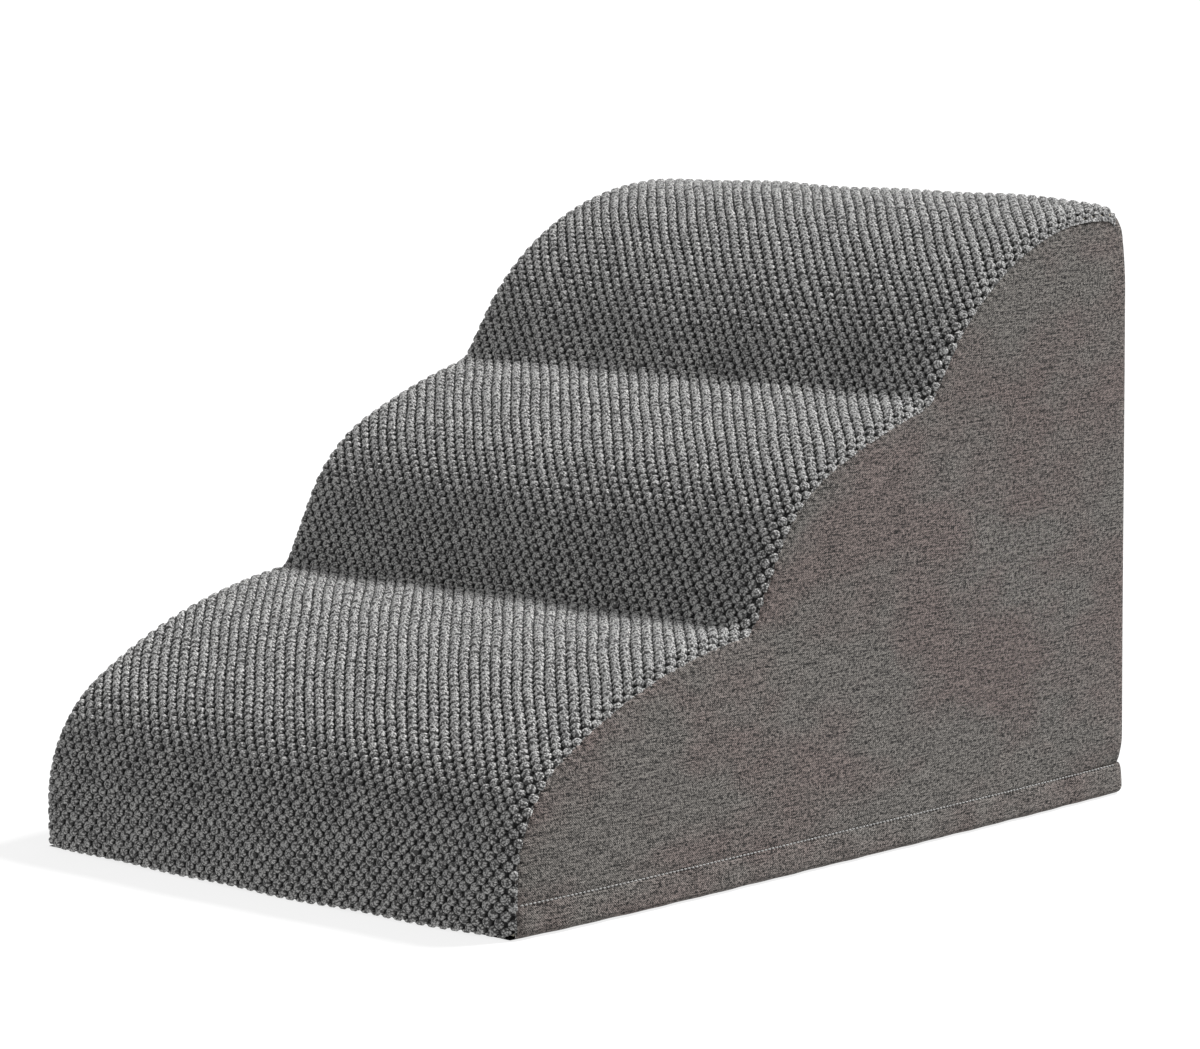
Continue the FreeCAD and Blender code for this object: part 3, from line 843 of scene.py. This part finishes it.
def split_boxes(node):
    """The boxes of a CAD node's separate solids, in the order of their low corners."""
    shape = bmesh.new()
    shape.from_mesh(nodes[node].data)
    bmesh.ops.remove_doubles(shape, verts=shape.verts, dist=1e-6)
    left = set(shape.verts)
    found = []
    while left:
        grown = {left.pop()}
        edge = set(grown)
        while edge:
            edge = {e.other_vert(v) for v in edge for e in v.link_edges} - grown
            grown |= edge
        left -= grown
        points = np.array([v.co for v in grown])
        found.append((points.min(axis=0), points.max(axis=0)))
    shape.free()
    return sorted(found, key=lambda box: tuple(box[0]))


shape = bmesh.new()
for low, high in split_boxes("zip_stops"):
    clamp(shape, low, high, 0.35)
stops = turned_mesh("stops", shape, zinc, "ramp")
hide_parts("zip_stops")


# ---- Zip slider ----
# A die-cast zinc slider: a shield-shaped plate on each side of the tape with short flanges
# over the coils, a divider between them, and a bridge that holds the pull tab.

PLATE = 0.0012
BRIDGE_RADIUS = 0.00055
BRIDGE_FLATNESS = 2.1

slider_low, slider_high = (np.array(c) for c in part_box("zip_slider"))
slider_x = (slider_low[0] + slider_high[0]) / 2
plate_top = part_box("zip_coil_upper")[1][1] + 0.0003 + PLATE


def flat_plate(outline, hole, thickness, y_middle, soften):
    """A mesh of a flat plate in the plane of the zip, with an optional hole and soft edges."""
    curve = bpy.data.curves.new("outline", "CURVE")
    curve.dimensions = "2D"
    curve.fill_mode = "BOTH"
    curve.extrude = thickness / 2 - soften
    curve.bevel_depth = soften
    curve.bevel_resolution = 3
    curve.offset = -soften
    for ring in (outline, hole):
        if ring is None:
            continue
        spline = curve.splines.new("POLY")
        spline.points.add(len(ring) - 1)
        spline.use_cyclic_u = True
        for point, (x, z) in zip(spline.points, ring):
            point.co = (x, z, 0, 1)
    holder = bpy.data.objects.new("outline", curve)
    bpy.context.scene.collection.objects.link(holder)
    mesh = bpy.data.meshes.new_from_object(holder.evaluated_get(bpy.context.evaluated_depsgraph_get()))
    bpy.data.objects.remove(holder)
    mesh.transform(Matrix(((1, 0, 0, 0), (0, 0, 1, y_middle), (0, 1, 0, ZIP_Z), (0, 0, 0, 1))))
    mesh.flip_normals()
    return mesh


def mirrored(upper):
    """A closed outline from its upper half, as (x, z) points from one end to the other."""
    return [*upper, *[(x, -z) for x, z in reversed(upper)]]


def shield(share):
    """Half the width of the slider's plate, by its place from the tail (0) to the nose (1)."""
    wide = 0.0036 + 0.0014 * math.sin(min(max((share - 0.15) / 0.35, 0), 1) * math.pi / 2)
    tail = math.sqrt(max(1 - ((0.12 - share) / 0.12) ** 2, 0)) if share < 0.12 else 1.0
    nose = math.sqrt(max(1 - ((share - 0.80) / 0.20) ** 2, 0)) if share > 0.80 else 1.0
    return wide * (0.45 + 0.55 * tail) * (0.30 + 0.70 * nose)


shape = bmesh.new()
length = slider_high[0] - slider_low[0]
half_plate = [(slider_low[0] + length * i / 40, shield(i / 40)) for i in range(41)]
under_middle = slider_low[1] + PLATE / 2
for middle in (plate_top - PLATE / 2, under_middle):
    shape.from_mesh(flat_plate(mirrored(half_plate), None, PLATE, middle, 0.00035))
for side in (1, -1):
    wall = [(x, side * z) for x, z in half_plate[8:33]]
    inner = [(x, z - side * 0.0007) for x, z in reversed(wall)]
    shape.from_mesh(flat_plate(wall + inner, None, 0.0016, plate_top - PLATE - 0.0004, 0.0002))
nose_low = (slider_high[0] - 0.0048, under_middle, ZIP_Z - 0.0003)
nose_high = (slider_high[0] - 0.0012, plate_top - PLATE / 2, ZIP_Z + 0.0003)
for vertex in shape.verts:
    vertex.tag = True
clamp(shape, nose_low, nose_high, 0.0)

# The bridge is a bent strap, 2.3 mm wide
arch_x = np.array([-4.2, -4.2, -4.15, -3.6, -2.6, -1.3, 0, 1.3, 2.6, 3.6, 4.15, 4.2, 4.2]) / 1000
arch_y = np.array([-0.6, 0.4, 1.3, 2.05, 2.30, 2.32, 2.32, 2.32, 2.30, 2.05, 1.3, 0.4, -0.6]) / 1000
body = turned_mesh("slider", shape, zinc, "slider")
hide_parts("zip_slider")
fine = np.linspace(0, 12, 49)
strap = np.column_stack([
    slider_x + np.interp(fine, range(13), arch_x),
    plate_top + np.interp(fine, range(13), arch_y),
    np.full(49, ZIP_Z),
])
strands(
    "slider_bridge", strap[None], np.array([0.0, 0.0, 1.0]), BRIDGE_RADIUS, zinc,
    "slider", sides=16, flatten=BRIDGE_FLATNESS,
)


# ---- Pull tab ----
# A stamped zinc tab whose crossbar turns under the bridge. It has a window for the bridge,
# a waist, and a wider grip with pressed ridges.

tab_low, tab_high = (np.array(c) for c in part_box("zip_pull_tab"))
tab_middle = (tab_low[1] + tab_high[1]) / 2
tab_thick = tab_high[1] - tab_low[1]
tab_length = tab_high[0] - tab_low[0]


def tab_half(share):
    """Half the width of the tab, by its place from the grip's end (0) to the crossbar (1)."""
    grip = 0.0035 * math.sqrt(max(1 - ((0.16 - share) / 0.16) ** 2, 0)) if share < 0.16 else 0.0035
    waist = 0.0009 * math.exp(-((share - 0.55) / 0.13) ** 2)
    return max(grip - waist, 0.0002)


half_tab = [(tab_low[0] + tab_length * i / 60, tab_half(i / 60)) for i in range(60)]
window_x = (tab_high[0] - 0.00555 - 0.0015, tab_high[0] - 0.0012)
window = mirrored([
    (window_x[0], 0.0009), (window_x[0] + 0.0004, 0.0015), (window_x[0] + 0.0010, 0.0017),
    (window_x[1] - 0.0003, 0.0017), (window_x[1], 0.0014),
])
shape = bmesh.new()
shape.from_mesh(flat_plate(mirrored(half_tab), window, tab_thick, tab_middle, 0.00028))
tab = turned_mesh("pull_tab", shape, zinc, "pull_tab")
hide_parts("zip_pull_tab")
share = np.linspace(-1, 1, 15)
bars = [(tab_high[0] - tab_thick / 2, 0.0035, tab_middle, tab_thick / 2 * 0.98)]
for place in (0.0030, 0.0047, 0.0064, 0.0081):
    bars.append((tab_low[0] + place, 0.0022, tab_high[1] - 0.0001, 0.00032))
for number, (bar_x, half, bar_y, thick) in enumerate(bars):
    line = np.column_stack([np.full(15, bar_x), np.full(15, bar_y), ZIP_Z + share * half])
    radii = thick * np.sqrt(1 - np.clip(np.abs(share) - 0.8, 0, 1) ** 2 / 0.0405)
    name = "tab_crossbar" if number == 0 else "tab_ridge_%d" % number
    strands(name, line[None], np.array([0.0, 1.0, 0.0]), radii, zinc, "pull_tab", sides=16)


# ---- Base cloth ----
# A dark oxford cloth that closes the cover underneath. It is stitched into the hem all round
# and hangs just clear of the floor between the grip dots.

BASE_LAP = 0.002
BASE_ROUND = CORNER_ROLL - BAND_CURL + BASE_LAP

oxford, tree, shader = new_material("base_oxford", roughness=0.9)
u, v = apart(tree, flat_place(tree))
checks = [
    sum_of(tree, "SINE", sum_of(tree, "MULTIPLY", coordinate, math.pi / 0.0016))
    for coordinate in (u, v)
]
weave = sum_of(tree, "MULTIPLY_ADD", sum_of(tree, "MULTIPLY", *checks), 0.5, 0.5)
weave = sum_of(tree, "ADD", weave, sum_of(tree, "MULTIPLY", clouds(tree, flat_place(tree), 900.0), 0.5))
oxford_shade = ramp(tree, weave, (0.3, (0.018, 0.018, 0.019)), (1.0, (0.075, 0.074, 0.076)))
tree.links.new(oxford_shade, shader.inputs["Base Color"])
emboss(tree, shader, weave, 0.0003)

base_front = FRONT_Y + FOOT_CURL - 0.001
y = base_front + (BACK_Y - BAND_CURL + BASE_LAP - base_front) * from_edge(300)[:, None]
over = np.clip(y - (BACK_Y - CORNER_ROLL), 0, BASE_ROUND)
edge = HALF_WIDTH - CORNER_ROLL + SIDE_BOW * bow(y) + np.sqrt(BASE_ROUND ** 2 - over ** 2)
x = edge * np.linspace(1, -1, 240)[None]
y = np.broadcast_to(y, x.shape)
sag = 0.00025 * np.sin(x * 44 + 1) * np.sin(y * 37)
points = np.stack([x, y, floor_z + 0.0003 + sag], axis=-1)
base = skin("base_cover", points, points[..., :2].copy(), oxford)
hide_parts("base_panel")


# ---- Grip dots ----
# Soft black rubber dots moulded on to the base cloth, with the four at the corners as feet
# of their own. Each is a low dome that stands on the floor.

rubber, tree, shader = new_material("dot_rubber", roughness=0.7)
bloom = clouds(tree, place_on(tree), 350.0, 3.0)
rubber_shade = ramp(tree, bloom, (0.35, (0.012, 0.012, 0.012)), (0.7, (0.050, 0.050, 0.049)))
tree.links.new(rubber_shade, shader.inputs["Base Color"])
emboss(tree, shader, bloom, 0.0002)

for node, name in (("grip_dots", "dots"), ("corner_grip_dots", "corner_dots")):
    boxes = split_boxes(node)
    middles = np.array([(low + high) / 2 for low, high in boxes])
    radius = (boxes[0][1][0] - boxes[0][0][0]) / 2
    turn = np.linspace(0, 2 * math.pi, 21)
    fall = np.linspace(0, math.pi / 2, 8)
    ring = radius * np.sin(fall)
    height = (floor_z + 0.0006) * (1 - np.cos(fall) ** 0.7)
    dome = np.stack([
        ring[:, None] * np.cos(turn),
        ring[:, None] * np.sin(turn),
        np.repeat(height[:, None], len(turn), axis=1),
    ], axis=-1)
    all_domes = dome[None] + np.column_stack([middles[:, :2], np.zeros(len(middles))])[:, None, None]
    index = np.arange(all_domes.size // 3).reshape(all_domes.shape[:3])
    quads = [index[:, :-1, :-1], index[:, 1:, :-1], index[:, 1:, 1:], index[:, :-1, 1:]]
    flat = all_domes[..., :2].copy()
    piece = smooth_piece(name, all_domes, np.stack(quads, axis=-1), flat, rubber)
    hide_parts(node)


# ---- Care label ----
# A blank strip of off-white satin ribbon, caught in the back hem seam. It hangs over the hem
# and its free edge curls away from the cloth.

satin, tree, shader = new_material("label_satin", roughness=0.45, sheen=0.3)
u, v = apart(tree, flat_place(tree))
thread = sum_of(tree, "SINE", sum_of(tree, "MULTIPLY", v, 14000.0))
thread = sum_of(tree, "ADD", sum_of(tree, "MULTIPLY", thread, 0.3), clouds(tree, flat_place(tree), 500.0))
satin_shade = ramp(tree, thread, (0.2, (0.40, 0.39, 0.37)), (0.8, (0.60, 0.59, 0.565)))
tree.links.new(satin_shade, shader.inputs["Base Color"])
emboss(tree, shader, thread, 0.0001)

label_low, label_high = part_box("care_label")
across = np.linspace(label_high[0], label_low[0], 60)
down = np.linspace(label_high[2], label_low[2], 36)
x, z = np.meshgrid(across, down)
share = (label_high[2] - z) / (label_high[2] - label_low[2])
turned_end = np.cos((x - label_low[0]) / (label_high[0] - label_low[0]) * math.pi)
y = BACK_Y + 0.0010 + HEM_SWELL + 0.0026 * share ** 2
y = y + 0.0006 * turned_end * share + 0.0003 * np.sin(x * 260) * share
points = np.stack([x, y, z + 0.0004 * share ** 2], axis=-1)
label = skin("label", points, points[..., ::2].copy(), satin)
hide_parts("care_label")


# ---- Studio ----
# A white paper sweep under one large overhead silk. The room around it is a pale surround,
# brighter from below, as the paper throws light back up.

paper, tree, shader = new_material("paper_sweep", roughness=0.9)
grain = clouds(tree, place_on(tree), 3.0)
tree.links.new(ramp(tree, grain, (0.0, (0.20,) * 3), (1.0, (0.23,) * 3)), shader.inputs["Base Color"])
shader.inputs["Emission Color"].default_value = (1, 1, 1, 1)
shader.inputs["Emission Strength"].default_value = 0.82
bpy.ops.mesh.primitive_plane_add(size=80.0)
ground = bpy.context.object
ground.name = "studio_floor"
ground.data.materials.append(paper)
ground.visible_diffuse = False

silk = bpy.data.lights.new("overhead_silk", "SUN")
silk.energy = 4.35
silk.angle = math.radians(11)
lamp = bpy.data.objects.new("overhead_silk", silk)
lamp.rotation_euler = Vector((0.32, 0.75, 1.0)).to_track_quat("Z", "Y").to_euler()
bpy.context.scene.collection.objects.link(lamp)

world = bpy.data.worlds.new("studio")
world.use_nodes = True
tree = world.node_tree
direction = tree.nodes.new("ShaderNodeTexCoord").outputs["Generated"]
height = tree.nodes.new("ShaderNodeSeparateXYZ")
tree.links.new(direction, height.inputs[0])
below = sum_of(tree, "LESS_THAN", height.outputs[2], 0.0)
fill = sum_of(tree, "MULTIPLY_ADD", below, 0.25, 0.40)
seen = tree.nodes.new("ShaderNodeLightPath").outputs["Is Camera Ray"]
tree.links.new(sum_of(tree, "MAXIMUM", seen, fill), tree.nodes["Background"].inputs[1])
tree.nodes["Background"].inputs[0].default_value = (1, 1, 1, 1)
bpy.context.scene.world = world
bpy.context.scene.view_settings.view_transform = "Standard"

camera = bpy.data.objects.new("camera", bpy.data.cameras.new("camera"))
camera.data.sensor_width = 36.0
camera.data.lens = 142.2
camera.location = (2.109, -2.269, 0.633)
aimed = Euler((math.radians(82.0), 0, math.radians(42.86))).to_matrix()
rolled = Euler((0, 0, math.radians(-0.43))).to_matrix()
camera.rotation_euler = (aimed @ rolled).to_euler()
bpy.context.scene.collection.objects.link(camera)
bpy.context.scene.camera = camera
